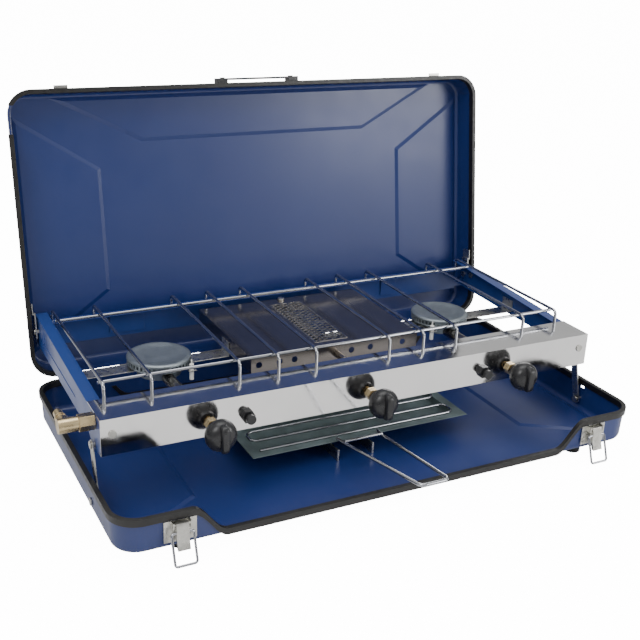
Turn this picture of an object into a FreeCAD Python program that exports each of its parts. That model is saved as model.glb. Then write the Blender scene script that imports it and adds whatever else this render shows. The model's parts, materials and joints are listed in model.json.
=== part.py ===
"""Folding two-burner camping stove with a grill: case, lift-up cooktop, grill pan and latches."""
import FreeCAD
import Part
import Sketcher
import math
import os

V = FreeCAD.Vector
doc = FreeCAD.newDocument("CampingStove")
sheet = doc.addObject("Spreadsheet::Sheet", "Sizes")
nodes = []


class Size:
    """A number together with the expression that the document uses for it."""

    def __init__(self, value, text):
        self.value = value
        self.text = text

    def _join(self, other, sign, result):
        return Size(result, f"({self.text} {sign} {text(other)})")

    def __add__(self, other):
        return self._join(other, "+", self.value + number(other))

    def __sub__(self, other):
        return self._join(other, "-", self.value - number(other))

    def __mul__(self, other):
        return self._join(other, "*", self.value * number(other))

    def __truediv__(self, other):
        return self._join(other, "/", self.value / number(other))

    def __neg__(self):
        return Size(-self.value, f"(0 - {self.text})")

    def __radd__(self, other):
        return Size(other + self.value, f"({other} + {self.text})")

    def __rsub__(self, other):
        return Size(other - self.value, f"({other} - {self.text})")

    def __rmul__(self, other):
        return Size(other * self.value, f"({other} * {self.text})")


def number(value):
    return value.value if isinstance(value, Size) else value


def text(value):
    return value.text if isinstance(value, Size) else f"({value:.6f})"


def cell(alias, value):
    """Write one driving dimension to the sheet and return it as a Size."""
    row = cell.row = cell.row + 1
    sheet.set(f"A{row}", alias)
    sheet.set(f"B{row}", str(value))
    sheet.setAlias(f"B{row}", alias)
    return Size(value, f"Sizes.{alias}")


cell.row = 0


# ---------------------------------------------------------------- driving dimensions (mm, degrees)
# Case frame: X right, Y to the rear, Z up from the underside of the tray.
offset_x = cell("case_offset_x", 11.15)
offset_y = cell("case_offset_y", -15.8)
foot_height = cell("foot_height", 10)
tray_length = cell("tray_length", 595)
tray_depth = cell("tray_depth", 313)
tray_height = cell("tray_height", 37.2)
tray_sheet = cell("tray_sheet", 1.0)
tray_slope = cell("tray_wall_slope", 0.04)
corner = cell("case_corner", 25)
dip_half = cell("front_dip_half", 192)
dip_top = cell("front_dip_top", 7.2)
dip_slope = cell("front_dip_slope", 34)
trim_width = cell("trim_width", 5)
trim_height = cell("trim_height", 7)
lid_height = cell("lid_height", 34.2)
lid_sheet = cell("lid_sheet", 0.8)
lid_slope = cell("lid_wall_slope", 0.12)
lid_edge = cell("lid_sheet_edge", -0.2)
press_step = cell("pressed_step", 1.6)
press_taper = cell("pressed_edge_taper", 70)
hinge_y = cell("hinge_y", 159.5)
hinge_z = cell("hinge_z", 40)
opening = cell("lid_opening", 98.6)
crank_y = cell("crank_y", 14.21)
crank_z = cell("crank_z", 52.24)
shift_y = cell("closing_shift_y", 68)
shift_z = cell("closing_shift_z", 46)
leg_y = cell("leg_pivot_y", -70.5)
leg_z = cell("leg_pivot_z", 13)
leg_x = cell("leg_inner_face", 289.6)
leg_thick = cell("leg_thickness", 1.5)
pin_radius = cell("pivot_pin_radius", 2.4)
frame_half = cell("frame_half_length", 287.5)
frame_sheet = cell("frame_sheet", 1.2)
panel_y = cell("panel_face_y", -78.15)
panel_low = cell("panel_bottom_z", 62.4)
panel_high = cell("panel_top_z", 99.9)
flange_back = cell("panel_flange_back", -34)
rear_rail_y = cell("rear_rail_y", 175)
rack_z = cell("rack_top_wire_z", 115.6)
wire = cell("rack_wire_radius", 1.75)
knob_x = cell("knob_spacing", 178.5)
knob_z = cell("knob_z", 75)
knob_radius = cell("knob_radius", 16)
igniter_x = cell("igniter_x", 141)
igniter_z = cell("igniter_z", 77.5)
burner_x = cell("burner_x", 181)
burner_y = cell("burner_y", 72)
cap_radius = cell("burner_cap_radius", 35)
venturi_z = cell("venturi_z", 71)
inlet_y = cell("inlet_y", -60)
inlet_z = cell("inlet_z", 92)
inlet_flat = cell("inlet_hex_flat", 15)
box_half = cell("grill_box_half", 103)
box_front = cell("grill_box_front", 0.5)
box_back = cell("grill_box_back", 156)
box_low = cell("grill_box_low", 82)
box_high = cell("grill_box_high", 100)
pan_x = cell("pan_centre_x", -2.5)
pan_front = cell("pan_front_y", -75.5)
pan_width = cell("pan_width", 260)
pan_length = cell("pan_length", 100)
pan_rim = cell("pan_rim_z", 26)
pan_floor = cell("pan_floor_z", 17.7)
latch_x = cell("latch_x", 239)
pan_travel = cell("pan_travel", 125)
pan_drop = cell("pan_drop", 7)
doc.recompute()
closed_pivot = (crank_y - shift_y, crank_z - shift_z)
bracket_rivet = (closed_pivot[0] - 27, closed_pivot[1] + 2)


# ---------------------------------------------------------------- drawing helpers
def bind(feature, path, value):
    feature.setExpression(path, text(value))


def at(feature, x=0, y=0, z=0):
    for axis, value in (("x", x), ("y", y), ("z", z)):
        bind(feature, f"Placement.Base.{axis}", value)
    return feature


def box(name, x, y, z):
    """A block between the pairs x, y and z."""
    block = doc.addObject("Part::Box", name)
    for side, pair in (("Length", x), ("Width", y), ("Height", z)):
        bind(block, side, pair[1] - pair[0])
    return at(block, x[0], y[0], z[0])


TURNS = {"x": FreeCAD.Rotation(V(0, 1, 0), 90), "y": FreeCAD.Rotation(V(1, 0, 0), -90),
         "z": FreeCAD.Rotation()}


def rod(name, axis, span, centre, radius):
    """A round bar along one axis; centre holds the other two coordinates in x, y, z order."""
    bar = doc.addObject("Part::Cylinder", name)
    bind(bar, "Radius", radius)
    bind(bar, "Height", span[1] - span[0])
    bar.Placement = FreeCAD.Placement(V(), TURNS[axis])
    place = {"x": (span[0], centre[0], centre[1]), "y": (centre[0], span[0], centre[1]),
             "z": (centre[0], centre[1], span[0])}[axis]
    return at(bar, *place)


def hexagon(name, axis, span, centre, flat):
    """A hexagonal bar with two of its flats level, flat being the distance across them."""
    bar = doc.addObject("Part::Prism", name)
    bar.Polygon = 6
    bind(bar, "Circumradius", flat / math.sqrt(3))
    bind(bar, "Height", span[1] - span[0])
    level = 30 if axis == "x" else 0
    bar.Placement = FreeCAD.Placement(V(), TURNS[axis] * FreeCAD.Rotation(V(0, 0, 1), level))
    place = {"x": (span[0], centre[0], centre[1]), "y": (centre[0], span[0], centre[1]),
             "z": (centre[0], centre[1], span[0])}[axis]
    return at(bar, *place)


def fuse(name, *pieces):
    joined = doc.addObject("Part::MultiFuse", name)
    joined.Shapes = list(pieces)
    return joined


def cut(name, base, *tools):
    taken = doc.addObject("Part::Cut", name)
    taken.Base = base
    taken.Tool = tools[0] if len(tools) == 1 else fuse(f"{name}_tools", *tools)
    return taken


def common(name, first, second):
    kept = doc.addObject("Part::MultiCommon", name)
    kept.Shapes = [first, second]
    return kept


def mirrored(name, piece):
    """The same piece on the other side of the middle plane X = 0."""
    copy = doc.addObject("Part::Mirroring", name)
    copy.Source = piece
    copy.Normal = V(1, 0, 0)
    return copy


def sketch_on(body, name, role, height):
    drawing = body.newObject("Sketcher::SketchObject", name)
    plane = [face for face in body.Origin.OriginFeatures if face.Role == role][0]
    drawing.AttachmentSupport = [(plane, "")]
    drawing.MapMode = "FlatFace"
    drawing.AttachmentOffset = FreeCAD.Placement(V(0, 0, number(height)), FreeCAD.Rotation())
    bind(drawing, "AttachmentOffset.Base.z", height)
    return drawing


def pin_point(drawing, edge, place):
    """Tie the start of one edge to the sizes that give its place."""
    for kind, value in (("DistanceX", place[0]), ("DistanceY", place[1])):
        row = drawing.addConstraint(Sketcher.Constraint(kind, -1, 1, edge, 1, number(value)))
        bind(drawing, f"Constraints[{row}]", value)


def polygon(drawing, points):
    spots = [V(number(x), number(y), 0) for x, y in points]
    for index, spot in enumerate(spots):
        drawing.addGeometry(Part.LineSegment(spot, spots[(index + 1) % len(spots)]), False)
    for index in range(len(spots)):
        following = (index + 1) % len(spots)
        drawing.addConstraint(Sketcher.Constraint("Coincident", index, 2, following, 1))
    for index, place in enumerate(points):
        pin_point(drawing, index, place)


def rounded_rectangle(drawing, length, depth, radius):
    """A centred rectangle with rounded corners, sized by the sheet."""
    half_x, half_y, round_ = number(length) / 2, number(depth) / 2, number(radius)
    for turn, (sx, sy) in enumerate(((1, -1), (1, 1), (-1, 1), (-1, -1))):
        across = ((-half_x + round_, -half_y), (half_x, -half_y + round_),
                  (half_x - round_, half_y), (-half_x, half_y - round_))[turn]
        along = ((half_x - round_, -half_y), (half_x, half_y - round_),
                 (-half_x + round_, half_y), (-half_x, -half_y + round_))[turn]
        drawing.addGeometry(Part.LineSegment(V(*across, 0), V(*along, 0)), False)
        centre = V(sx * (half_x - round_), sy * (half_y - round_), 0)
        start = math.radians(90 * (turn - 1))
        arc = Part.ArcOfCircle(Part.Circle(centre, V(0, 0, 1), round_), start, start + math.pi / 2)
        drawing.addGeometry(arc, False)
    for edge in range(8):
        joint = Sketcher.Constraint("Tangent", edge, 2, (edge + 1) % 8, 1)
        drawing.addConstraint(joint)
    drawing.addConstraint(Sketcher.Constraint("Horizontal", 0))
    drawing.addConstraint(Sketcher.Constraint("Vertical", 2))
    for edge in (3, 5, 7):
        drawing.addConstraint(Sketcher.Constraint("Equal", 1, edge))
    row = drawing.addConstraint(Sketcher.Constraint("Radius", 1, round_))
    bind(drawing, f"Constraints[{row}]", radius)
    pin_point(drawing, 0, (radius - length / 2, -(depth / 2)))
    pin_point(drawing, 4, (length / 2 - radius, depth / 2))


def pad(body, drawing, length, taper=None):
    rise = body.newObject("PartDesign::Pad", drawing.Name + "_pad")
    rise.Profile = drawing
    bind(rise, "Length", length)
    if taper is not None:
        bind(rise, "TaperAngle", taper)
    drawing.Visibility = False
    return rise


def tub(name, length, depth, height, start, radius, slope, round_over, wide_below):
    """A drafted block with rounded corners, its closed end rounded over.

    wide_below says which end is the wide one: True for a lid, False for a tray.
    The given length and depth are those at the start height.
    """
    body = doc.addObject("PartDesign::Body", name)
    drawing = sketch_on(body, name + "_outline", "XY_Plane", start)
    rounded_rectangle(drawing, length, depth, radius)
    angle = math.degrees(math.atan(number(slope)))
    rise = pad(body, drawing, height, -angle if wide_below else angle)
    doc.recompute()
    level = number(start) + (number(height) if wide_below else 0)
    edges = [f"Edge{index + 1}" for index, edge in enumerate(rise.Shape.Edges)
             if abs(edge.BoundBox.ZMin - level) < 0.01 and abs(edge.BoundBox.ZMax - level) < 0.01]
    soft = body.newObject("PartDesign::Fillet", name + "_round")
    soft.Base = (rise, edges)
    bind(soft, "Radius", round_over)
    return body


def plate(name, role, points, start, thickness, taper=None):
    """A polygon drawn on an origin plane and padded; start and thickness follow the normal."""
    body = doc.addObject("PartDesign::Body", name)
    drawing = sketch_on(body, name + "_outline", role, start)
    polygon(drawing, points)
    pad(body, drawing, thickness, taper)
    return body


def side_plate(name, points, start, thickness):
    """A plate drawn in Y and Z, thickness along +X."""
    return plate(name, "YZ_Plane", points, start, thickness)


def front_plate(name, points, back, thickness):
    """A plate drawn in X and Z whose rear face is at Y = back and which grows towards -Y."""
    return plate(name, "XZ_Plane", points, -back, thickness)


def bent(name, points, radius, bend):
    """A bent wire: straight runs joined by round bends, swept in one piece."""
    spots = [V(*[number(part) for part in point]) for point in points]
    count = len(spots)
    entries, exits = dict(enumerate(spots)), dict(enumerate(spots))
    arcs = {}
    for index in range(1, count - 1):
        here = spots[index]
        back = (spots[index - 1] - here).normalize()
        ahead = (spots[index + 1] - here).normalize()
        half = back.getAngle(ahead) / 2
        reach = bend / math.tan(half)
        entries[index], exits[index] = here + back * reach, here + ahead * reach
        middle = here + (back + ahead).normalize() * (bend / math.sin(half) - bend)
        arcs[index] = Part.Arc(entries[index], middle, exits[index]).toShape()
    edges = []
    for index in range(count - 1):
        edges.append(Part.makeLine(exits[index], entries[index + 1]))
        if index + 1 in arcs:
            edges.append(arcs[index + 1])
    path = Part.Wire(edges)
    start, direction = exits[0], (entries[1] - exits[0]).normalize()
    ring = Part.Wire([Part.makeCircle(number(radius), start, direction)])
    piece = doc.addObject("Part::Feature", name)
    piece.Shape = path.makePipeShell([ring], True, True)
    return piece


def node(name, piece, turn=None, pivot=(0, 0)):
    """Name a finished sub-part and stand it in the shared frame.

    turn is the angle about X at the pivot (Y, Z); the piece is then drawn from that pivot.
    """
    piece.Label = name
    if turn is not None:
        piece.Placement = FreeCAD.Placement(V(), FreeCAD.Rotation(V(1, 0, 0), number(turn)))
        bind(piece, "Placement.Rotation.Angle", turn)
    at(piece, offset_x, offset_y + pivot[0], foot_height + pivot[1])
    nodes.append(piece)
    return piece


def lid_node(name, piece):
    """Lid pieces are drawn closed, from the hinge axis, and turned up to the open place."""
    return node(name, piece, -opening, (hinge_y, hinge_z))


def both_sides(name, piece):
    return fuse(name, piece, mirrored(name + "_mirror", piece))


def dip_line(drop):
    """The rim line of the tray front: high at the ends, dipped in the middle, with S-shaped ends."""
    top, low, steps = tray_height - drop, dip_top - drop, 8
    right = []
    for step in range(steps + 1):
        share = step / steps
        rise = share * share * (3 - 2 * share)
        right.append((dip_half + dip_slope * share, low + (tray_height - dip_top) * rise))
    left = [(-x, z) for x, z in reversed(right)]
    far = tray_length
    return [(-far, top)] + left + right + [(far, top)]


# ---------------------------------------------------------------- case tray
def press_outline(side, inner, outer, grow):
    """The pressed field at one end of the tray or lid; inner and outer hold its Y spans."""
    x_in, x_out = 200 - grow, 285 + grow
    points = [(x_in, inner[0] - grow), (x_out, outer[0] - grow),
              (x_out, outer[1] + grow), (x_in, inner[1] + grow)]
    if side < 0:
        points = [(-x, y) for x, y in reversed(points)]
    return points


def pressed_fields(name, inner, outer, start, thickness, taper, grow):
    """Both end fields with sloping edges; a positive taper widens them upwards."""
    return [plate(f"{name}_{index}", "XY_Plane", press_outline(side, inner, outer, grow),
                  start, thickness, taper) for index, side in enumerate((-1, 1))]


def tray_form(name, inset, low, high, round_over):
    """The tray's solid form between two heights, set in from its outer face."""
    narrower = 2 * (tray_height - low) * tray_slope + 2 * inset
    return tub(name, tray_length - narrower, tray_depth - narrower, high - low, low,
               corner - inset, tray_slope, round_over, False)


def dip_cutter(name, drop):
    """Everything above the dipped part of the front rim, in front of the middle of the tray."""
    top = 60
    outline = dip_line(drop)[1:-1] + [(dip_half + dip_slope, top), (-dip_half - dip_slope, top)]
    return front_plate(name, outline, -120, 60)


def build_tray():
    """The deep-drawn tray with its dipped front and raised floor fields."""
    spans = ((-80, 72), (-138, 130))
    outer = tray_form("tray_outer", 0, 0, tray_height, 7)
    inner = tray_form("tray_inner", tray_sheet, tray_sheet, tray_height + 5, 6)
    rise = press_step + 0.01
    below = pressed_fields("tray_press_low", *spans, -0.01, rise, -press_taper, 3)
    above = pressed_fields("tray_press_high", *spans, tray_sheet - 0.01, rise, -press_taper, 3.5)
    skin = cut("tray_skin", cut("tray_body", outer, *below), cut("tray_hollow", inner, *above))
    slots = [box("tray_slot_left", (-302, -290), (-80, -74), (27.5, 30.5)),
             box("tray_slot_right", (290, 302), (-75, -69), (26.5, 29.5))]
    holes = [rod("leg_hole_left", "x", (-302, -290), (leg_y, leg_z), pin_radius),
             rod("leg_hole_right", "x", (290, 302), (leg_y, leg_z), pin_radius)]
    node("base_tray", cut("tray", skin, dip_cutter("tray_dip", 0), *slots, *holes))


def build_base_trim():
    """The U-shaped edging on the tray's rim, open where the hinge is."""
    half = trim_width / 2
    middle = tray_sheet / 2
    outside = tray_form("base_ring_out", middle - half, -1, tray_height + 4, 0.3)
    inside = tray_form("base_ring_in", middle + half, -1, tray_height + 6, 0.3)
    lip = 0.8
    band_top = [(x, z + lip) for x, z in dip_line(0)]
    band_low = [(x, z + lip) for x, z in dip_line(trim_height)]
    band = front_plate("trim_band", band_top + band_low[::-1], 200, 400)
    strip = common("base_strip", cut("base_ring", outside, inside), band)
    wall = cut("trim_slot", tray_form("trim_slot_out", 0, 0, tray_height, 7),
               tray_form("trim_slot_in", tray_sheet, tray_sheet, tray_height + 5, 6),
               dip_cutter("trim_slot_dip", 0))
    hinge_gap = box("base_hinge_gap", (-256, 256), (hinge_y - 10, 175), (20, 50))
    node("base_trim", cut("base_trim_cut", strip, wall, hinge_gap))


def build_feet():
    """Four rubber feet under the tray corners."""
    feet = []
    for index, (x, y) in enumerate(((-232, -136), (232, -136), (-232, 130), (232, 130))):
        feet.append(rod(f"foot_{index}", "z", (-foot_height, 0), (x, y), 9))
    return node("base_feet", fuse("feet", *feet))


# ---------------------------------------------------------------- lid (drawn closed, from the hinge)
def lid_form(name, inset, low, high, round_over):
    """The lid's solid form between two heights, lying in front of the hinge axis."""
    narrower = 2 * (low - lid_edge) * lid_slope + 2 * inset
    body = tub(name, tray_length - narrower, tray_depth - narrower, high - low, low,
               corner - inset, lid_slope, round_over, True)
    return at(body, 0, -hinge_y, 0)


def build_lid():
    """The lid shell with pressed end fields, a pressed front field and the inlet notch."""
    inner_span, outer_span = (-225, -88), (-281, -30)
    outer = lid_form("lid_outer", 0, lid_edge, lid_height, 5)
    inner = lid_form("lid_inner", lid_sheet, lid_edge - 1, lid_height - lid_sheet, 4.2)
    front = [(-230, -303), (230, -303), (145, -260), (-143, -260)]
    front_grown = [(-230.5, -303.5), (230.5, -303.5), (145.5, -259.5), (-143.5, -259.5)]
    above, below = [], []
    for store, grow, top, outline in ((above, 0, lid_height, front),
                                      (below, 1, lid_height - lid_sheet, front_grown)):
        floor = top - press_step
        tag = f"lid_press_{grow}"
        store.extend(pressed_fields(tag, inner_span, outer_span, floor, 2, press_taper, 0.3 * grow))
        store.append(plate(f"{tag}_front", "XY_Plane", outline, floor, 2, press_taper))
    notch = box("lid_notch", (-305, -285), (-302, -272), (-2, 15.5))
    holes = [rod("bracket_hole_left", "x", (-302, -285), bracket_rivet, 1.6),
             rod("bracket_hole_right", "x", (285, 302), bracket_rivet, 1.6)]
    shell = cut("lid_skin", cut("lid_body", outer, *above), cut("lid_hollow", inner, *below))
    lid_node("lid_shell", cut("lid", shell, notch, *holes))


def build_lid_trim():
    """The U-shaped edging on the lid's rim, open at the notch and at the hinge."""
    half = trim_width / 2
    middle = lid_sheet / 2
    low = lid_edge - 0.8
    outside = lid_form("lid_ring_out", middle - half, low, lid_height, 0.3)
    inside = lid_form("lid_ring_in", middle + half, low - 1, lid_height + 1, 0.3)
    band = box("lid_band", (-320, 320), (-340, 20), (low, low + trim_height))
    strip = common("lid_strip", cut("lid_ring", outside, inside), band)
    wall = cut("lid_trim_slot", lid_form("lid_slot_out", 0, lid_edge, lid_height, 5),
               lid_form("lid_slot_in", lid_sheet, lid_edge - 1, lid_height + 3, 4))
    notch = box("lid_trim_notch", (-310, -280), (-302, -272), (-2, 20))
    hinge_gap = box("lid_hinge_gap", (-256, 256), (-10, 20), (-3, 20))
    lid_node("lid_trim", cut("lid_trim_cut", strip, wall, notch, hinge_gap))


def build_hinge():
    """A long rolled hinge: two leaves with alternate knuckles on one pin."""
    half, knuckles, radius = 250, 10, 2.4
    pitch = 2 * half / knuckles
    lower, upper = [], []
    for index in range(knuckles):
        start = -half + index * pitch + 0.25
        roll = rod(f"knuckle_{index}", "x", (start, start + pitch - 0.5), (0, 0), radius)
        (lower if index % 2 == 0 else upper).append(roll)
    bore = rod("hinge_bore_lower", "x", (-half - 1, half + 1), (0, 0), 1.05)
    bore_up = rod("hinge_bore_upper", "x", (-half - 1, half + 1), (0, 0), 1.05)
    wall_y = tray_depth / 2 - hinge_y
    leaf = []
    for index in range(0, knuckles, 2):
        start = -half + index * pitch + 0.25
        leaf.append(box(f"leaf_neck_{index}", (start, start + pitch - 0.5),
                        (wall_y + 0.1, wall_y + 1.1), (-4, 0)))
    leaf.append(box("leaf_low", (-half, half), (wall_y + 0.1, wall_y + 1.1), (-15, -3.2)))
    low = cut("hinge_low", fuse("hinge_low_all", *lower, *leaf), bore)
    node("hinge_leaf_lower", low, 0, (hinge_y, hinge_z))
    top = []
    for index in range(1, knuckles, 2):
        start = -half + index * pitch + 0.25
        top.append(box(f"leaf_neck_{index}", (start, start + pitch - 0.5),
                       (wall_y + 0.1, wall_y + 1.1), (0, 4)))
    top.append(box("leaf_top", (-half, half), (wall_y + 0.1, wall_y + 1.1), (3.2, 14)))
    lid_node("hinge_leaf_upper", cut("hinge_top", fuse("hinge_top_all", *upper, *top), bore_up))
    pin = rod("pin", "x", (-half - 1.5, half + 1.5), (0, 0), 1)
    pin_body = fuse("pin_all", pin, rod("pin_head", "x", (-half - 3, -half - 1.5), (0, 0), 2))
    node("hinge_pin", pin_body, 0, (hinge_y, hinge_z))


def build_carry_handle():
    """The plastic carrying handle on the lid's front wall, held by two rivets."""
    wall = -hinge_y - tray_depth / 2
    outer, inner = wall - 7.4, wall - 4.9
    grip = box("grip", (-52, 44), (outer, inner), (11, 22))
    feet = [box("grip_foot_left", (-56, -43), (outer, wall + 3), (11, 22)),
            box("grip_foot_right", (35, 48), (outer, wall + 3), (11, 22))]
    block = fuse("grip_all", grip, *feet)
    lid_node("carry_handle", cut("grip_cut", block, lid_form("grip_wall", -0.05, -1, lid_height, 5)))


def build_catches():
    """Two zinc hooks on the lid's front wall for the latch bails."""
    wall = -hinge_y - tray_depth / 2
    flat = box("catch_flat", (latch_x - 7.5, latch_x + 7.5), (wall - 1, wall + 3), (7, 24))
    lip = box("catch_lip", (latch_x - 7.5, latch_x + 7.5), (wall - 5.5, wall - 1), (5.8, 7.2))
    edge = box("catch_edge", (latch_x - 7.5, latch_x + 7.5), (wall - 1, wall + 1), (5.8, 7.2))
    rivets = [rod(f"catch_rivet_{index}", "y", (wall - 2, wall - 1), (latch_x + x, 18), 1.8)
              for index, x in enumerate((-4, 4))]
    hook = cut("catch_one", fuse("catch_all", flat, lip, edge, *rivets),
               lid_form("catch_wall", -0.05, -1, lid_height, 5),
               box("catch_trim", (200, 300), (wall - 2.6, wall + 3), (-2, 6.05)))
    lid_node("latch_catches", both_sides("catches", hook))


def sided(make, label, place):
    """Build one piece for each end of the stove: drawn at +X and mirrored for the left."""
    for side in ("right", "left"):
        piece = make(f"{label}_{side}_piece")
        if side == "left":
            piece = mirrored(f"{label}_turned", piece)
        place(f"{label}_{side}", piece)


def lid_bracket(tag):
    """A zinc bracket inside the lid's end wall that carries the cooktop's rear pivot."""
    pivot_y, pivot_z = closed_pivot
    high = (pivot_z - 5, pivot_z + 9)
    arm = box(tag + "_arm", (leg_x, leg_x + leg_thick), (pivot_y - 22, pivot_y + 7), high)
    foot = box(tag + "_foot", (leg_x, 293.2), (pivot_y - 22, pivot_y - 20.5), high)
    wall = box(tag + "_wall", (292.0, 293.2), (pivot_y - 33, pivot_y - 20.5), high)
    bore = rod(tag + "_bore", "x", (280, 300), (pivot_y, pivot_z), pin_radius + 0.05)
    return cut(tag, fuse(tag + "_all", arm, foot, wall), bore)


def build_lid_rivets():
    """Rivets in the lid: two hold the carrying handle, two hold the brackets."""
    wall = -hinge_y - tray_depth / 2
    heads = [rod(f"grip_rivet_{index}", "y", (wall - 8.4, wall - 7.4), (x, 16.5), 3)
             for index, x in enumerate((-48, 40))]
    rivet = rod("bracket_rivet", "x", (293.2, 297.8), bracket_rivet, 1.5)
    lid_node("lid_rivets", fuse("lid_rivet_set", both_sides("bracket_rivet_pair", rivet), *heads))


# ---------------------------------------------------------------- latches
def build_latches():
    """Draw latches on the tray front: plates, levers hanging from a pin, wire bails."""
    wall = -tray_depth / 2
    pivot = (wall - 5, 27)
    hang = (wall - 7, 20)
    plates = []
    for side in (-1, 1):
        x = latch_x * side
        back = box(f"latch_back_{side}", (x - 15.7, x + 15.7), (wall - 1.2, wall - 0.1), (8, 30))
        ears = [box(f"latch_ear_{side}_{turn}", (x + turn - 0.6, x + turn + 0.6),
                    (wall - 7, wall - 1.2), (23.5, 30)) for turn in (-8.2, 8.2)]
        screws = [rod(f"latch_rivet_{side}_{turn}", "y", (wall - 2, wall - 1.2), (x + turn, 13), 2)
                  for turn in (-11, 11)]
        axle = rod(f"latch_axle_{side}", "x", (x - 8.8, x + 8.8), pivot, 1.2)
        plates.append(fuse(f"latch_plate_{side}", back, *ears, *screws, axle))
    node("latch_plates", fuse("latch_pair", *plates))
    for side, label in ((-1, "left"), (1, "right")):
        x = latch_x * side
        face = side_plate(f"lever_{label}", [(wall - 6.9, 29), (wall - 3.2, 29), (wall - 3.2, 22),
                                             (wall - 5.2, 14), (wall - 9.5, 4), (wall - 12.5, 4),
                                             (wall - 8.6, 15), (wall - 8.6, 24)], x - 6, 12)
        bores = [rod(f"lever_axle_bore_{label}", "x", (x - 7, x + 7), pivot, 1.26),
                 rod(f"lever_bail_bore_{label}", "x", (x - 7, x + 7), hang, 1.3)]
        node(f"latch_lever_{label}", cut(f"lever_cut_{label}", face, *bores))
        foot = (hang[0] - 10.2, -8.4)
        loop = bent(f"bail_{label}", [(x - 5.5, *hang), (x - 10.5, *hang), (x - 10.5, *foot),
                                      (x + 10.5, *foot), (x + 10.5, *hang), (x + 5.5, *hang)],
                    1.25, 2.6)
        node(f"latch_bail_{label}", loop)


# ---------------------------------------------------------------- cooktop frame
def leg(tag):
    """A flat zinc link from the tray's end wall to the cooktop's end rail."""
    top = (leg_y + crank_y, leg_z + crank_z)
    angle = math.atan2(crank_z.value, crank_y.value)
    across = (5 * math.sin(angle), -5 * math.cos(angle))
    low = (leg_y, leg_z)
    bar = side_plate(tag + "_bar", [(low[0] + across[0], low[1] + across[1]),
                                    (top[0] + across[0], top[1] + across[1]),
                                    (top[0] - across[0], top[1] - across[1]),
                                    (low[0] - across[0], low[1] - across[1])], leg_x, leg_thick)
    ends = [rod(f"{tag}_end_{index}", "x", (leg_x, leg_x + leg_thick), spot, 5)
            for index, spot in enumerate((low, top))]
    bores = [rod(tag + "_bore_low", "x", (280, 300), low, pin_radius + 0.05),
             rod(tag + "_bore_top", "x", (280, 300), top, pin_radius + 0.3)]
    return cut(tag, fuse(tag + "_all", bar, *ends), *bores)


def build_leg_pins():
    """Pins: the lower pair is fixed in the tray walls, the upper and rear pairs in the rails."""
    low = fuse("leg_pin_low", rod("leg_pin", "x", (288.2, 296.6), (leg_y, leg_z), pin_radius - 0.02),
               rod("leg_pin_inner", "x", (287, 288.2), (leg_y, leg_z), 4),
               rod("leg_pin_outer", "x", (296.8, 298.4), (leg_y, leg_z), 4),
               rod("leg_pin_neck", "x", (296.6, 296.8), (leg_y, leg_z), pin_radius - 0.02))
    node("leg_pins_lower", both_sides("leg_pins_low", low))
    spots = ((leg_y + crank_y, leg_z + crank_z), (hinge_y + crank_y, hinge_z + crank_z))
    pins = []
    for index, spot in enumerate(spots):
        pins += [rod(f"rail_pin_{index}", "x", (284.5, 292.6), spot, pin_radius),
                 rod(f"rail_pin_head_{index}", "x", (284.5, 286.3), spot, 4),
                 rod(f"rail_pin_clip_{index}", "x", (291.4, 292.4), spot, 3.8)]
    node("frame_pins", both_sides("frame_pin_set", fuse("frame_pin_one", *pins)))


def rail(tag):
    """A channel-shaped end rail with a long pressed recess and pivot holes."""
    outline = [(-76.9, 66), (-64, 60), (-48, 60), (-34, 70), (184, 75), (184, 110),
               (-33, 98.9), (-76.9, 98.9)]
    hollow = [(-80, 40), (190, 40), (190, 109), (-33, 97.7), (-80, 97.7)]
    web = side_plate(tag + "_solid", outline, 274.5, frame_half - 274.5)
    inside = side_plate(tag + "_hollow", hollow, 270, frame_half - frame_sheet - 270)
    recess = side_plate(tag + "_recess", [(12, 83), (150, 87), (150, 98), (12, 93)],
                        frame_half - 0.6, 5)
    bores = [rod(tag + "_bore_front", "x", (280, 300), (leg_y + crank_y, leg_z + crank_z), pin_radius),
             rod(tag + "_bore_rear", "x", (280, 300), (hinge_y + crank_y, hinge_z + crank_z),
                 pin_radius)]
    if "left" in tag:
        bores.append(rod(tag + "_bore_inlet", "x", (270, 300), (inlet_y, inlet_z), 5))
    return cut(tag, web, inside, recess, *bores)


def build_front_panel():
    """The bright front panel: face, top flange and lower lip in one bent sheet."""
    face, back = panel_y, panel_y + 1
    outline = [(face, panel_low), (face + 9, panel_low), (face + 9, panel_low + 1),
               (back, panel_low + 1), (back, panel_high - 1), (flange_back, panel_high - 1),
               (flange_back, panel_high), (face, panel_high)]
    sheet_body = side_plate("panel", outline, -287.4, 2 * 287.4)
    holes = [rod(f"stem_hole_{index}", "y", (-90, -70), (knob_x * index, knob_z), 5)
             for index in (-1, 0, 1)]
    holes += [rod(f"igniter_hole_{index}", "y", (-90, -70), (igniter_x * index, igniter_z), 4.6)
              for index in (-1, 1)]
    node("front_panel", cut("panel_cut", sheet_body, *holes))
    screws = [fuse(f"panel_screw_{side}",
                   rod(f"panel_head_{side}", "y", (panel_y - 1.4, panel_y), (276 * side, 84), 4),
                   rod(f"rear_head_{side}", "x", (284.2, 286.3) if side > 0 else (-286.3, -284.2),
                       (156, 96), 3.5)) for side in (-1, 1)]
    screws += [rod("grill_screw", "z", (box_high, box_high + 2.5), (1, 151), 4)]
    node("frame_screws", fuse("frame_screw_set", *screws))


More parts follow.
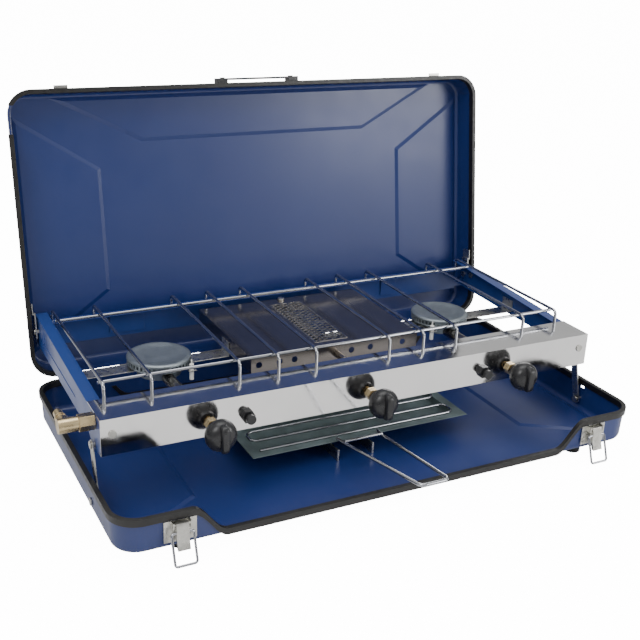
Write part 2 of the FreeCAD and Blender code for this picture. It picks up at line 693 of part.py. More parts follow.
def build_rear_rail():
    """The rear cross rail that ties the end rails and carries the rack's rear feet."""
    back = rear_rail_y + frame_sheet
    outline = [(rear_rail_y - 12, 102.8), (rear_rail_y, 102.8), (rear_rail_y, 73), (back, 73),
               (back, 104), (rear_rail_y - 12, 104)]
    rear = side_plate("rear_rail_body", outline, -274, 548)
    ends = [box(f"rear_rail_end_{side}", (273.9, 286.3) if side > 0 else (-286.3, -273.9),
                (rear_rail_y, back), (76, 86)) for side in (-1, 1)]
    node("rear_rail", fuse("rear_rail_all", rear, *ends))
    tabs = [box("tab_left", (-206, -165), (rear_rail_y - 2, rear_rail_y), (78, 100)),
            box("tab_right", (156, 178), (rear_rail_y - 2, rear_rail_y), (78, 100)),
            box("tab_middle", (-18, 8), (rear_rail_y - 2, rear_rail_y), (88, 102.8))]
    node("rear_tabs", fuse("rear_tab_set", *tabs))


def rack_wire(name, x):
    """One cross wire of the pan support, with its ends bent down to the frame."""
    low_front, low_rear = panel_high + 0.1, 104.1
    return bent(name, [(x, -36, low_front), (x, -36, rack_z), (x, 173, rack_z),
                       (x, 173, low_rear)], wire, 5)


def build_rack():
    """The wire rack: cross wires in four groups, lying on a front and a rear rod."""
    groups = {"rack_wires_end_left": (-271.5, -224), "rack_wires_left": (-131.5, -88, -44.5),
              "rack_wires_right": (44.5, 88, 131.5), "rack_wires_end_right": (224, 271.5)}
    for label, places in groups.items():
        wires = [rack_wire(f"{label}_{index}", x) for index, x in enumerate(places)]
        node(label, fuse(label + "_all", *wires))
    for label, y in (("front", -23), ("rear", 148)):
        bar = rod(f"rack_rod_{label}_bar", "x", (-274, 274), (y, rack_z - 2 * wire), wire)
        node(f"rack_rod_{label}", fuse(f"rack_rod_{label}_all", bar, rod(
            f"rack_rod_{label}_tip", "x", (273.9, 274.2), (y, rack_z - 2 * wire), wire - 0.5)))


# ---------------------------------------------------------------- burners and gas parts
def burner(tag):
    """A cast burner head with slots round its skirt and a venturi mouth at the front."""
    centre = (burner_x, burner_y)
    bowl = rod(tag + "_bowl", "z", (68, 78), centre, 24)
    skirt = rod(tag + "_skirt", "z", (78, 86), centre, 31)
    slots = []
    for index in range(12):
        slot = doc.addObject("Part::Box", f"{tag}_slot_{index}")
        bind(slot, "Length", 64)
        bind(slot, "Width", 2.2)
        bind(slot, "Height", 5)
        turn = FreeCAD.Rotation(V(0, 0, 1), 15 * index)
        shift = turn.multVec(V(-32, -1.1, 0))
        slot.Placement = FreeCAD.Placement(V(), turn)
        slots.append(at(slot, burner_x + shift.x, burner_y + shift.y, 80))
    core = rod(tag + "_core", "z", (79, 85.5), centre, 27)
    return fuse(tag, bowl, core, cut(tag + "_slotted", skirt, *slots))


def burner_cap(tag):
    """The dished cap that closes the burner."""
    centre = (burner_x, burner_y)
    disc = rod(tag + "_disc", "z", (86, 88.6), centre, cap_radius)
    crown = rod(tag + "_crown", "z", (88.6, 89.6), centre, cap_radius - 5)
    return fuse(tag, disc, crown)


def venturi(tag):
    """The mixing tube from the valve to the burner, with a flared mouth."""
    x = knob_x + 1
    tube = rod(tag + "_tube", "y", (-46, burner_y - 22), (x, venturi_z), 6.5)
    mouth = rod(tag + "_mouth", "y", (-50, -36), (x, venturi_z), 8.5)
    bore = rod(tag + "_bore", "y", (-52, 30), (x, venturi_z), 5.6)
    bowl = rod(tag + "_clear", "z", (60, 90), (burner_x, burner_y), 24)
    return cut(tag, fuse(tag + "_all", tube, mouth), bore, bowl)


def strap(tag):
    """The steel strap that carries a burner between the grill box and the end rail."""
    flat = box(tag + "_flat", (box_half, frame_half - frame_sheet), (62, 82), (77, 78))
    ends = [box(tag + "_inner", (box_half, box_half + 1), (62, 82), (78, 94)),
            box(tag + "_outer", (frame_half - 2 * frame_sheet, frame_half - frame_sheet),
                (62, 82), (78, 92))]
    holder = box(tag + "_holder", (149, 158), (40, 62), (77, 78))
    hole = rod(tag + "_hole", "z", (60, 90), (burner_x, burner_y), 24)
    spark = rod(tag + "_spark_hole", "z", (60, 90), (153.5, 44.5), 2.5)
    room = rod(tag + "_room", "z", (78, 90), (burner_x, burner_y), 31)
    return cut(tag, fuse(tag + "_all", flat, *ends, holder), hole, spark, room)


def electrode(tag):
    """A white ceramic spark electrode with its wire tip."""
    body = rod(tag + "_body", "z", (66, 84), (153.5, 44.5), 2.45)
    tip = rod(tag + "_tip", "z", (84, 89), (153.5, 44.5), 0.8)
    return fuse(tag, body, tip)


def build_grill():
    """The sheet-steel grill housing, its top mesh and the tube burner inside."""
    shell = cut("grill_shell",
                box("grill_solid", (-box_half, box_half), (box_front, box_back), (box_low, box_high)),
                box("grill_inside", (1 - box_half, box_half - 1), (box_front + 1, box_back - 1),
                    (box_low - 1, box_high - 1)))
    window = box("grill_window", (-20, 20), (15, 139), (90, 110))
    holes = [rod(f"grill_hole_{index}", "y", (-5, 5), (x, 91), 3.5)
             for index, x in enumerate((-94, -70, -52, 18, 42, 84))]
    feed = rod("grill_feed_hole", "y", (-5, 5), (0, 89), 4.3)
    node("grill_box", cut("grill_cut", shell, window, *holes, feed))
    blank = box("mesh_frame", (-22.5, 22.5), (12.5, 141.5), (98, 99))
    gaps = [box(f"mesh_gap_{row}", (-19, 19), (17 + row * 12.2, 26 + row * 12.2), (97, 100))
            for row in range(10)]
    node("grill_mesh", cut("mesh", blank, *gaps))
    tube = fuse("grill_tube_all",
                rod("grill_tube", "y", (14, 141), (0, 89), 7),
                rod("grill_tube_end", "y", (141, 143), (0, 89), 8))
    ports = [rod(f"port_{row}", "z", (80, 98), (0, 24 + row * 14), 1.5) for row in range(8)]
    node("grill_burner", cut("grill_burner_cut", tube, *ports))
    feed_pipe = bent("feed", [(0, -57, 75), (0, -43, 75), (0, -18, 89), (0, 13.9, 89)], 4, 9)
    node("grill_feed_pipe", feed_pipe)


def build_gas_line():
    """Valves behind the panel on one pipe, their injectors, and the inlet at the left end."""
    bodies = []
    for index in (-1, 0, 1):
        x = knob_x * index
        block = box(f"valve_block_{index}", (x - 8, x + 8), (panel_y + 1, -60), (66, 84))
        neck = rod(f"valve_neck_{index}", "z", (83, 90), (x, -66), 4)
        bore = rod(f"valve_bore_{index}", "y", (-80, -66), (x, knob_z), 3.06)
        line = rod(f"valve_line_{index}", "x", (x - 20, x + 20), (inlet_y, inlet_z), 4.5)
        bodies.append(cut(f"valve_{index}", fuse(f"valve_all_{index}", block, neck), bore, line))
        if index:
            bodies.append(rod(f"jet_{index}", "y", (-60, -51), (x + index, venturi_z), 3))
    node("gas_valves", fuse("valves", *bodies))
    pipe = rod("pipe", "x", (-283, 190), (inlet_y, inlet_z), 4.5)
    node("gas_pipe", fuse("pipe_all", pipe, rod("pipe_cap", "x", (190, 192),
                                                (inlet_y, inlet_z), 4)))
    nut = cut("inlet_nut_cut", hexagon("inlet_hex", "x", (-303, -288.2), (inlet_y, inlet_z), inlet_flat),
              rod("inlet_nut_bore", "x", (-310, -280), (inlet_y, inlet_z), 4.6))
    node("inlet_nut", nut)
    elbow = fuse("inlet_elbow_all",
                 rod("inlet_neck", "x", (-311, -283), (inlet_y, inlet_z), 4.5),
                 rod("inlet_body", "x", (-322, -303), (inlet_y, inlet_z), 7.2),
                 rod("inlet_arm", "y", (inlet_y, inlet_y + 10), (-315, inlet_z), 6.5),
                 *[rod(f"inlet_rib_{rib}", "y", (inlet_y + 10 + 3 * rib, inlet_y + 12 + 3 * rib),
                       (-315, inlet_z), 5.6) for rib in range(3)],
                 rod("inlet_tail", "y", (inlet_y + 8, inlet_y + 28), (-315, inlet_z), 4.6))
    node("gas_inlet", elbow)


def build_controls():
    """Three knobs on brass stems and two push-button igniters."""
    for label, index in (("left", -1), ("middle", 0), ("right", 1)):
        x = knob_x * index
        disc = rod(f"knob_disc_{label}", "y", (-107, -93), (x, knob_z), knob_radius)
        grip = box(f"knob_grip_{label}", (x - 4.5, x + 4.5), (-118, -106.9),
                   (knob_z - 14, knob_z + 14))
        skirt = rod(f"knob_step_{label}", "y", (-110, -106.9), (x, knob_z), knob_radius - 3)
        bore = rod(f"knob_bore_{label}", "y", (-100, -90), (x, knob_z), 3)
        node(f"knob_{label}", cut(f"knob_cut_{label}", fuse(f"knob_all_{label}", disc, grip, skirt),
                                  bore))
        stem = rod(f"stem_{label}", "y", (-100, -67), (x, knob_z), 3)
        collar = rod(f"stem_collar_{label}", "y", (-92.9, -88), (x, knob_z), 4)
        node(f"knob_stem_{label}", fuse(f"stem_all_{label}", stem, collar))
    bodies, nuts = [], []
    for label, side in (("left", -1), ("right", 1)):
        place = (igniter_x * side, igniter_z)
        case = rod(f"igniter_case_{label}", "y", (panel_y + 1, -46), place, 6.5)
        case_bore = rod(f"igniter_case_bore_{label}", "y", (-80, -60), place, 3.9)
        bodies.append(cut(f"igniter_body_{label}", case, case_bore))
        hexagon_bar = hexagon(f"igniter_hex_{label}", "y", (panel_y - 5, panel_y), place, 12.6)
        nuts.append(cut(f"igniter_nut_{label}", hexagon_bar,
                        rod(f"igniter_nut_bore_{label}", "y", (-90, -70), place, 4)))
        button = rod(f"igniter_button_body_{label}", "y", (panel_y - 11, -70), place, 3.8)
        cap = rod(f"igniter_button_cap_{label}", "y", (panel_y - 12, panel_y - 8.3), place, 5)
        node(f"igniter_button_{label}", fuse(f"igniter_push_{label}", button, cap))
    node("igniter_bodies", fuse("igniter_body_pair", *bodies))
    node("igniter_nuts", fuse("igniter_nut_pair", *nuts))


# ---------------------------------------------------------------- grill pan
def build_pan():
    """The grill pan with its feet, wire grid, wire handle and the rails it slides on."""
    middle = pan_front + pan_length / 2
    rim = box("pan_rim", (pan_x - pan_width / 2, pan_x + pan_width / 2),
              (pan_front, pan_front + pan_length), (pan_rim - 0.8, pan_rim))
    depth = pan_rim - pan_floor
    outside = at(tub("pan_out", pan_width - 26, pan_length - 26, depth - 0.1, pan_floor, 10, 0.3, 3,
                     False), pan_x, middle, 0)
    inside = at(tub("pan_in", pan_width - 27.6, pan_length - 27.6, depth + 1, pan_floor + 0.8, 9.2,
                    0.3, 2.2, False), pan_x, middle, 0)
    tray = cut("pan", fuse("pan_all", rim, outside), inside)
    half, lines, pitch = 118, 5, 20
    route = []
    for row in range(lines):
        y = pan_front + 10 + pitch * row
        ends = (-half, half) if row % 2 == 0 else (half, -half)
        route += [(pan_x + end, y, pan_rim + 1.25) for end in ends]
    node("pan_grid", bent("grid", route, 1.2, 7))
    grip = [(-36, pan_front + 1.5, 27.9), (-35, pan_front - 10, 28.6), (-16, -206, 38.6),
            (16, -206, 38.6), (11, pan_front - 10, 28.6), (12, pan_front + 1.5, 27.9)]
    loop = bent("handle_loop", grip, wire, 6)
    bar = rod("handle_bar", "x", (-34.5, 10.5), (pan_front - 12, 28.6 + 2.4), 1.5)
    node("pan_handle", fuse("handle_all", loop, bar))
    slope = pan_drop / pan_travel
    feet, rails = [], []
    for index, x in enumerate((-34, 8)):
        for row, y in enumerate((-56, 4)):
            top_line = 14.1 - slope * (y + 70)
            feet.append(rod(f"pan_foot_{index}_{row}", "z", (top_line + 0.3, pan_floor + 0.4), (x, y),
                            1.8))
        high = [(-74.5, tray_sheet), (150, tray_sheet), (150, 14.1 - slope * 222), (-74.5, 14.1)]
        rails.append(side_plate(f"pan_rail_{index}", high, x - 1.2, 2.4))
    node("pan_plate", fuse("pan_with_feet", tray, *feet))
    node("pan_rails", fuse("pan_rail_pair", *rails))


def build_all():
    build_tray()
    build_base_trim()
    build_feet()
    build_lid()
    build_lid_trim()
    build_hinge()
    build_carry_handle()
    build_catches()
    lid_node("lid_brackets", both_sides("lid_bracket_pair", lid_bracket("lid_bracket")))
    build_lid_rivets()
    build_latches()
    sided(leg, "leg", node)
    build_leg_pins()
    sided(rail, "rail", node)
    build_front_panel()
    build_rear_rail()
    build_rack()
    for make, label in ((burner, "burner_heads"), (burner_cap, "burner_caps"),
                        (venturi, "venturi_tubes"), (strap, "burner_straps"),
                        (electrode, "spark_electrodes")):
        node(label, both_sides(label + "_pair", make(label + "_one")))
    build_grill()
    build_gas_line()
    build_controls()
    build_pan()


def write_parts():
    """Check every sub-part and write it to its own file."""
    doc.recompute()
    faults = [item.Name for item in doc.Objects if "Invalid" in item.State or "Error" in item.State]
    for piece in nodes:
        shape = piece.Shape
        if shape.isNull() or not shape.isValid() or shape.Volume <= 0:
            faults.append(piece.Label)
    if faults:
        raise ValueError("bad shapes: " + ", ".join(faults))
    os.makedirs("parts", exist_ok=True)
    for piece in nodes:
        piece.Shape.exportStep(f"parts/{piece.Label}.step")


build_all()
write_parts()
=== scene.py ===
"""Looks for the folding camping stove: materials, edges, knobs, caps, mesh, lights and camera."""
import json
import math

import bpy
from mathutils import Matrix, Vector


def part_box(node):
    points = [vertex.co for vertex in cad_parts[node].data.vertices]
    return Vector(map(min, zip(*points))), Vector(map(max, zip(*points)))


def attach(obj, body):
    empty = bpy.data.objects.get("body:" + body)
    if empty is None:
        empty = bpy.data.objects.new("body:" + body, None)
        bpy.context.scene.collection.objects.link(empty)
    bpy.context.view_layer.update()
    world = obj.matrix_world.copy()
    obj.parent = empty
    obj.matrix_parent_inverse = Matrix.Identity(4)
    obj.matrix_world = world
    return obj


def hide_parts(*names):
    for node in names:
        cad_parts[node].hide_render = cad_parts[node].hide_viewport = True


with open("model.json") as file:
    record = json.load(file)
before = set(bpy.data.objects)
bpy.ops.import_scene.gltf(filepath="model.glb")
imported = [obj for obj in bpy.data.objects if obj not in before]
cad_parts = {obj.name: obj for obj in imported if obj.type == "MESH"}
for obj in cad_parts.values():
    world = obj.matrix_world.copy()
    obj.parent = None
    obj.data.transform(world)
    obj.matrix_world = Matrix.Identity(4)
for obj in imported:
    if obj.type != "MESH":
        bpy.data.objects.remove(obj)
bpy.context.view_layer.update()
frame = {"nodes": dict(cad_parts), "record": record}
NODES = frame["nodes"]
MM = 0.001

# Frame of the case: X right, Y to the rear, Z up from the underside of the tray.
tray_low, tray_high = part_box("base_tray")
CASE = Vector(((tray_low[0] + tray_high[0]) / 2, (tray_low[1] + tray_high[1]) / 2, tray_low[2]))


# ---------------------------------------------------------------- material helpers
class Shader:
    """A Principled material with short ways to add texture nodes."""

    def __init__(self, name, color, rough, metal=0.0):
        self.material = bpy.data.materials.new(name)
        self.material.use_nodes = True
        self.tree = self.material.node_tree
        self.nodes, self.links = self.tree.nodes, self.tree.links
        self.bsdf = self.nodes["Principled BSDF"]
        self.bsdf.inputs["Base Color"].default_value = (*color, 1)
        self.bsdf.inputs["Roughness"].default_value = rough
        self.bsdf.inputs["Metallic"].default_value = metal
        self.coords = self.nodes.new("ShaderNodeTexCoord")

    def mapped(self, stretch):
        """Object coordinates, stretched along each axis."""
        mapping = self.nodes.new("ShaderNodeMapping")
        mapping.inputs["Scale"].default_value = stretch
        self.links.new(self.coords.outputs["Object"], mapping.inputs["Vector"])
        return mapping.outputs["Vector"]

    def noise(self, scale, detail=4.0, stretch=(1, 1, 1)):
        """Noise whose values lie mostly between 0.3 and 0.7."""
        noise = self.nodes.new("ShaderNodeTexNoise")
        noise.inputs["Scale"].default_value = scale
        noise.inputs["Detail"].default_value = detail
        self.links.new(self.mapped(stretch), noise.inputs["Vector"])
        return noise.outputs["Fac"]

    def span(self, value, low, high, from_low=0.3, from_high=0.7):
        """Map a value from one range to another."""
        ranged = self.nodes.new("ShaderNodeMapRange")
        for name, number in (("From Min", from_low), ("From Max", from_high),
                             ("To Min", low), ("To Max", high)):
            ranged.inputs[name].default_value = number
        self.links.new(value, ranged.inputs["Value"])
        return ranged.outputs["Result"]

    def tint(self, value, first, second):
        """Base colour that drifts between two colours."""
        ramp = self.nodes.new("ShaderNodeValToRGB")
        ramp.color_ramp.elements[0].position = 0.3
        ramp.color_ramp.elements[1].position = 0.7
        ramp.color_ramp.elements[0].color = (*first, 1)
        ramp.color_ramp.elements[1].color = (*second, 1)
        self.links.new(value, ramp.inputs["Fac"])
        self.links.new(ramp.outputs["Color"], self.bsdf.inputs["Base Color"])

    def rough(self, value, low, high):
        """Roughness that varies between two values."""
        self.links.new(self.span(value, low, high), self.bsdf.inputs["Roughness"])

    def bump(self, height, strength, distance):
        """Fine relief in the surface normal."""
        bump = self.nodes.new("ShaderNodeBump")
        bump.inputs["Strength"].default_value = strength
        bump.inputs["Distance"].default_value = distance
        self.links.new(height, bump.inputs["Height"])
        self.links.new(bump.outputs["Normal"], self.bsdf.inputs["Normal"])

    def coat(self, weight, rough):
        """A clear layer over the base."""
        self.bsdf.inputs["Coat Weight"].default_value = weight
        self.bsdf.inputs["Coat Roughness"].default_value = rough


def enamel(name, base, deep):
    """Gloss stove enamel with a faint orange peel and slow colour drift."""
    made = Shader(name, base, 0.34)
    made.tint(made.noise(5, 2), deep, base)
    made.rough(made.noise(30, 3), 0.30, 0.38)
    made.bump(made.noise(900, 2), 0.03, 0.0002)
    made.coat(0.22, 0.2)
    return made.material


def moulded(name, color, rough, grain):
    """Moulded plastic or rubber with a fine skin."""
    made = Shader(name, color, rough)
    lighter = tuple(part * 1.5 + 0.004 for part in color)
    made.tint(made.noise(60), color, lighter)
    made.rough(made.noise(200), rough - 0.06, rough + 0.08)
    made.bump(made.noise(grain, 3), 0.15, 0.0003)
    return made.material


def brushed(name, color, rough, along=(1, 40, 40), stain=None):
    """Rolled or brushed metal with streaks along one way and slow stains."""
    made = Shader(name, color, rough, 1.0)
    made.tint(made.noise(9), stain or tuple(part * 0.85 for part in color), color)
    made.rough(made.noise(60, 3, along), rough - 0.02, rough + 0.04)
    made.bump(made.noise(90, 3, along), 0.02, 0.0001)
    return made.material


def plated(name, color, rough):
    """Zinc or yellow plating: soft blotches with slightly uneven gloss."""
    made = Shader(name, color, rough, 1.0)
    made.tint(made.noise(90), tuple(part * 0.72 for part in color), color)
    made.rough(made.noise(150), rough - 0.08, rough + 0.1)
    made.bump(made.noise(500, 2), 0.08, 0.0002)
    return made.material


def bright(name, color, rough):
    """Polished or chromed metal with faint handling marks."""
    made = Shader(name, color, rough, 1.0)
    made.tint(made.noise(25), tuple(part * 0.94 for part in color), color)
    made.rough(made.noise(80, 6), rough * 0.6, rough * 1.6)
    return made.material


def cast(name, color):
    """Cast alloy: matt, grainy, a little mottled."""
    made = Shader(name, color, 0.42, 0.85)
    made.tint(made.noise(70), tuple(part * 0.8 for part in color), color)
    made.rough(made.noise(200), 0.34, 0.48)
    made.bump(made.noise(900, 3), 0.25, 0.0004)
    return made.material


MATERIALS = {
    "blue_enamel": enamel("blue_enamel", (0.014, 0.032, 0.150), (0.012, 0.028, 0.135)),
    "blue_bracket": enamel("blue_bracket", (0.020, 0.055, 0.230), (0.017, 0.048, 0.205)),
    "edge_trim": moulded("edge_trim", (0.005, 0.0045, 0.004), 0.36, 1500),
    "rubber_feet": moulded("rubber_feet", (0.015, 0.015, 0.016), 0.75, 900),
    "zinc_plate": plated("zinc_plate", (0.66, 0.65, 0.60), 0.3),
    "mirror_steel": bright("mirror_steel", (0.80, 0.79, 0.78), 0.10),
    "dark_stainless": brushed("dark_stainless", (0.36, 0.33, 0.30), 0.22, stain=(0.31, 0.28, 0.25)),
    "black_plastic": moulded("black_plastic", (0.010, 0.010, 0.011), 0.30, 1200),
    "brass_parts": plated("brass_parts", (0.72, 0.57, 0.33), 0.26),
    "chromed_wire": bright("chromed_wire", (0.47, 0.48, 0.51), 0.07),
    "burner_alloy": cast("burner_alloy", (0.34, 0.385, 0.41)),
    "pan_steel": moulded("pan_steel", (0.085, 0.115, 0.118), 0.38, 1100),
    "ceramic_white": moulded("ceramic_white", (0.80, 0.79, 0.75), 0.2, 1400),
    "mesh_steel": plated("mesh_steel", (0.55, 0.53, 0.48), 0.3),
}


WIRES = ("rack_", "pan_grid", "pan_handle", "latch_bail", "grill_feed", "hinge_pin")
SLOPED = ("lid_shell", "base_tray")


def soften(thing, width, angle):
    """Round the hard edges of a CAD node without touching its own vertices."""
    weld = thing.modifiers.new("weld", "WELD")
    weld.merge_threshold = 0.02 * MM
    flat = thing.modifiers.new("flat_faces", "DECIMATE")
    flat.decimate_type = "DISSOLVE"
    flat.angle_limit = math.radians(0.4)
    edge = thing.modifiers.new("edge_break", "BEVEL")
    edge.width = width
    edge.segments = 2
    edge.limit_method = "ANGLE"
    edge.angle_limit = math.radians(angle)
    shade = thing.modifiers.new("shading", "WEIGHTED_NORMAL")
    shade.keep_sharp = False


def dress_cad_nodes():
    """Give every carried-over CAD node its detailed material, soft edges and smooth shading."""
    slots = {part["node"]: part["material_slot"] for part in frame["record"]["subparts"]}
    for name, thing in NODES.items():
        thing.data.materials.clear()
        thing.data.materials.append(MATERIALS[slots[name]])
        thing.data.shade_smooth()
        if name.startswith(WIRES):
            thing.data.set_sharp_from_angle(angle=math.radians(40))
        elif name.startswith(SLOPED):
            soften(thing, 0.35 * MM, 12)
        else:
            soften(thing, 0.3 * MM, 34)


# ---------------------------------------------------------------- pieces that stand for CAD nodes
def add_piece(name, points, faces, body, stands_for, finish):
    """One mesh piece in the row frame, riding on a body and taking its finish from a slot."""
    mesh = bpy.data.meshes.new(name)
    mesh.from_pydata(points, [], faces)
    mesh.update()
    piece = bpy.data.objects.new(name, mesh)
    bpy.context.scene.collection.objects.link(piece)
    mesh.materials.append(MATERIALS[finish])
    mesh.shade_smooth()
    mesh.set_sharp_from_angle(angle=math.radians(38))
    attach(piece, body)
    if stands_for:
        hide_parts(stands_for)
    return piece


def lathe(profile, centre, along, steps=64):
    """Turn (radius, travel) pairs about an axis through centre; "y" or "z" names the axis."""
    points, faces = [], []
    for radius, travel in profile:
        for step in range(steps):
            turn = 2 * math.pi * step / steps
            side, up = radius * math.cos(turn), radius * math.sin(turn)
            offset = (side, travel, up) if along == "y" else (side, up, travel)
            points.append(CASE + Vector(centre) * MM + Vector(offset) * MM)
    for row in range(len(profile) - 1):
        for step in range(steps):
            following = (step + 1) % steps
            faces.append((row * steps + step, row * steps + following,
                          (row + 1) * steps + following, (row + 1) * steps + step))
    if along == "y":
        faces = [face[::-1] for face in faces]
    return points, faces


def rounded_block(centre, half, squareness=0.45, steps=40):
    """A block with strongly rounded edges: a sphere pressed towards a box."""
    def press(value):
        """Push a sine or cosine out towards one, keeping its sign."""
        return math.copysign(abs(value) ** squareness, value)
    points, faces = [], []
    rows = steps // 2
    for row in range(rows + 1):
        tilt = math.pi * (row / rows - 0.5)
        for step in range(steps):
            turn = 2 * math.pi * step / steps
            offset = (half[0] * press(math.cos(tilt)) * press(math.cos(turn)),
                      half[1] * press(math.cos(tilt)) * press(math.sin(turn)),
                      half[2] * press(math.sin(tilt)))
            points.append(CASE + Vector(centre) * MM + Vector(offset) * MM)
    for row in range(rows):
        for step in range(steps):
            following = (step + 1) % steps
            faces.append((row * steps + step, row * steps + following,
                          (row + 1) * steps + following, (row + 1) * steps + step))
    return points, faces


def joined(*pieces):
    """Put several (points, faces) pairs into one."""
    points, faces = [], []
    for more_points, more_faces in pieces:
        start = len(points)
        points += more_points
        faces += [tuple(index + start for index in face) for face in more_faces]
    return points, faces


# Profiles are (radius, travel along the axis) in mm. The nut's travel starts at the panel face.
KNOB_SPACING, KNOB_HEIGHT, PANEL_FACE = 178.5, 75.0, -78.15
RIDGE_MIDDLE, RIDGE_HALF = -108, (4.6, 10.4, 14.2)
NUT_SIDES = 6
KNOB_PROFILE = [(4.3, -87), (7.6, -87), (8.2, -87.6), (8.6, -91.5), (10.4, -93), (13.2, -95),
                (15.1, -98), (16, -102), (15.7, -106), (14.3, -109), (12, -111.4), (8.5, -113),
                (4, -113.7), (0.01, -113.9)]
NUT_PROFILE = [(4.1, 0), (6.4, 0), (6.9, -0.5), (6.9, -3.4), (6.2, -4), (4.6, -4), (4.1, -3.5)]


def build_knobs():
    """Ball-shaped knobs with a grip ridge, and a hexagonal nut behind each."""
    for label, index in (("left", -1), ("middle", 0), ("right", 1)):
        x = KNOB_SPACING * index
        ball = lathe(KNOB_PROFILE, (x, 0, KNOB_HEIGHT), "y")
        ridge = rounded_block((x, RIDGE_MIDDLE, KNOB_HEIGHT), RIDGE_HALF)
        add_piece(f"grip_knob_{label}", *joined(ball, ridge), f"knob_{label}", f"knob_{label}",
                  "black_plastic")
        nut = lathe(NUT_PROFILE, (x, PANEL_FACE, KNOB_HEIGHT), "y", NUT_SIDES)
        add_piece(f"panel_nut_{label}", *nut, "cooktop", None, "brass_parts")


BURNER_X, BURNER_Y = 181, 72
CAP_RADIUS, SKIRT_TILES = 35.0, 44
TILE_RADII, TILE_HEIGHTS = (32.6, 34.3), (81.3, 86.2)
CAP_PROFILE = [(0.01, 87.9), (17, 88.0), (26.5, 88.4), (29.6, 89.5), (31.2, 89.6), (33.2, 89.2),
               (34.6, 88.4), (CAP_RADIUS, 87.4), (CAP_RADIUS, 86.4), (34.3, 86.0), (0.01, 86)]
SKIRT_RING = [(32.4, 81.6), (34.2, 81.6), (34.5, 81.2), (34.5, 80.2), (34.0, 79.7), (32.4, 79.7),
              (32.4, 81.6)]


def skirt_tiles(centre):
    """Short upright webs between the gas ports under the rim of a burner cap."""
    pieces = []
    for index in range(SKIRT_TILES):
        corners = []
        for share in (0.0, 0.5):
            turn = 2 * math.pi * (index + share) / SKIRT_TILES
            for radius in TILE_RADII:
                corners.append((centre[0] + radius * math.cos(turn),
                                centre[1] + radius * math.sin(turn)))
        points = [CASE + Vector((x, y, z)) * MM for z in TILE_HEIGHTS for x, y in corners]
        faces = [(0, 1, 5, 4), (1, 3, 7, 5), (3, 2, 6, 7), (2, 0, 4, 6)]
        pieces.append((points, faces))
    return joined(*pieces)


def build_burner_caps():
    """Dished caps with a ring of gas ports round the skirt."""
    caps = []
    for side in (-1, 1):
        centre = (BURNER_X * side, BURNER_Y, 0)
        for profile in (CAP_PROFILE, SKIRT_RING):
            points, faces = lathe(profile, centre, "z", 96)
            caps.append((points, [face[::-1] for face in faces]))
        caps.append(skirt_tiles(centre))
    add_piece("burner_cap_pair", *joined(*caps), "cooktop", "burner_caps", "burner_alloy")


def strand(start, end, width, low, high):
    """A thin flat bar between two points of a level plane."""
    run = Vector(end) - Vector(start)
    across = Vector((-run.y, run.x)).normalized() * width / 2
    spots = [Vector(start) + across, Vector(start) - across, Vector(end) - across,
             Vector(end) + across]
    points = [CASE + Vector((spot.x, spot.y, z)) * MM for z in (low, high) for spot in spots]
    faces = [(0, 3, 2, 1), (4, 5, 6, 7), (0, 1, 5, 4), (1, 2, 6, 5), (2, 3, 7, 6), (3, 0, 4, 7)]
    return points, faces


def build_grill_mesh():
    """Expanded-metal mesh: crossing slanted strands clipped to the grill's window."""
    half, front, back, pitch, slope = 19.6, 15.4, 138.6, 6.4, 0.62
    strands = []
    for way in (-1, 1):
        level = front - 2 * half * slope
        while level < back + 2 * half * slope:
            ends = []
            for x in (-half, half):
                y = level + way * x * slope
                clipped = min(max(y, front), back)
                ends.append((x + way * (clipped - y) / slope, clipped))
            if abs(ends[0][0] - ends[1][0]) > 1 and abs(ends[0][0]) <= half and abs(ends[1][0]) <= half:
                low = 99.3 if way > 0 else 99.6
                strands.append(strand(ends[0], ends[1], 1.3, low, low + 0.6))
            level += pitch
    rim = ((-half, front), (half, front), (half, back), (-half, back))
    for index, corner in enumerate(rim):
        strands.append(strand(corner, rim[(index + 1) % 4], 1.6, 99.2, 100.3))
    add_piece("expanded_mesh", *joined(*strands), "cooktop", "grill_mesh", "mesh_steel")


# ---------------------------------------------------------------- stage
def area_light(name, place, target, size, power):
    """A rectangular lamp at a place, facing a target."""
    data = bpy.data.lights.new(name, "AREA")
    data.shape, data.size, data.size_y, data.energy = "RECTANGLE", size[0], size[1], power
    lamp = bpy.data.objects.new(name, data)
    bpy.context.scene.collection.objects.link(lamp)
    lamp.location = place
    lamp.rotation_euler = (Vector(target) - Vector(place)).to_track_quat("-Z", "Y").to_euler()


def white_floor():
    """Plain white ground that the camera sees as white wherever no shadow falls on it."""
    made = Shader("floor_white", (0.9, 0.9, 0.9), 0.9)
    made.bsdf.inputs["Specular IOR Level"].default_value = 0.1
    made.bsdf.inputs["Emission Color"].default_value = (1, 1, 1, 1)
    path = made.nodes.new("ShaderNodeLightPath")
    glow = made.span(path.outputs["Is Camera Ray"], 0, 14, 0, 1)
    made.links.new(glow, made.bsdf.inputs["Emission Strength"])
    return made.material


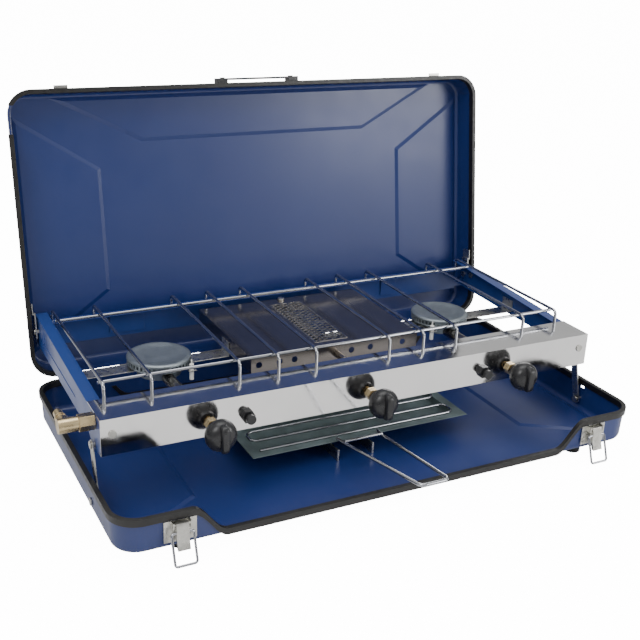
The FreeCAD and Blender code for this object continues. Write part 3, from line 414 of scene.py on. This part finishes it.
def build_stage():
    """A white floor, surroundings that are white to the camera and graded to the metal, lights."""
    mesh = bpy.data.meshes.new("floor")
    half = 9.0
    mesh.from_pydata([(-half, -half, 0), (half, -half, 0), (half, half, 0), (-half, half, 0)], [],
                     [(0, 1, 2, 3)])
    floor = bpy.data.objects.new("floor", mesh)
    bpy.context.scene.collection.objects.link(floor)
    floor.data.materials.append(white_floor())
    world = bpy.data.worlds.new("studio")
    bpy.context.scene.world = world
    world.use_nodes = True
    nodes, links = world.node_tree.nodes, world.node_tree.links
    graded = nodes["Background"]
    plain = nodes.new("ShaderNodeBackground")
    plain.inputs["Color"].default_value = (1, 1, 1, 1)
    plain.inputs["Strength"].default_value = 30
    place = nodes.new("ShaderNodeTexCoord")
    split = nodes.new("ShaderNodeSeparateXYZ")
    links.new(place.outputs["Generated"], split.inputs["Vector"])
    ramp = nodes.new("ShaderNodeValToRGB")
    ramp.color_ramp.elements[0].position = 0.02
    ramp.color_ramp.elements[0].color = (0.30, 0.31, 0.33, 1)
    ramp.color_ramp.elements[1].position = 0.55
    ramp.color_ramp.elements[1].color = (1, 1, 1, 1)
    links.new(split.outputs["Z"], ramp.inputs["Fac"])
    links.new(ramp.outputs["Color"], graded.inputs["Color"])
    graded.inputs["Strength"].default_value = 0.75
    path = nodes.new("ShaderNodeLightPath")
    mix = nodes.new("ShaderNodeMixShader")
    links.new(path.outputs["Is Camera Ray"], mix.inputs["Fac"])
    links.new(graded.outputs["Background"], mix.inputs[1])
    links.new(plain.outputs["Background"], mix.inputs[2])
    links.new(mix.outputs["Shader"], nodes["World Output"].inputs["Surface"])
    area_light("key", (-1.4, -1.0, 1.9), (0, 0, 0.1), (1.2, 1.2), 22)
    area_light("fill", (1.6, -1.8, 0.8), (0.05, 0.2, 0.2), (1.1, 0.9), 24)
    area_light("top", (0.1, 0.2, 2.2), (0, 0, 0.1), (1.6, 1.2), 18)


def build_camera():
    """The solved camera: place, aim and lens of the reference view."""
    azimuth, elevation, roll = (math.radians(angle) for angle in (27.82, 21.41, 2.46))
    ahead = Vector((math.sin(azimuth) * math.cos(elevation), math.cos(azimuth) * math.cos(elevation),
                    -math.sin(elevation)))
    level = Vector((math.cos(azimuth), -math.sin(azimuth), 0))
    upright = level.cross(ahead)
    right = level * math.cos(roll) + upright * math.sin(roll)
    up = upright * math.cos(roll) - level * math.sin(roll)
    data = bpy.data.cameras.new("camera")
    data.lens, data.sensor_width = 57.04, 36.0
    camera = bpy.data.objects.new("camera", data)
    bpy.context.scene.collection.objects.link(camera)
    turn = Matrix((right, up, -ahead)).transposed().to_4x4()
    camera.matrix_world = Matrix.Translation(CASE + Vector((-498.06, -899.45, 531.44)) * MM) @ turn
    bpy.context.scene.camera = camera


dress_cad_nodes()
build_knobs()
build_burner_caps()
build_grill_mesh()
build_stage()
build_camera()
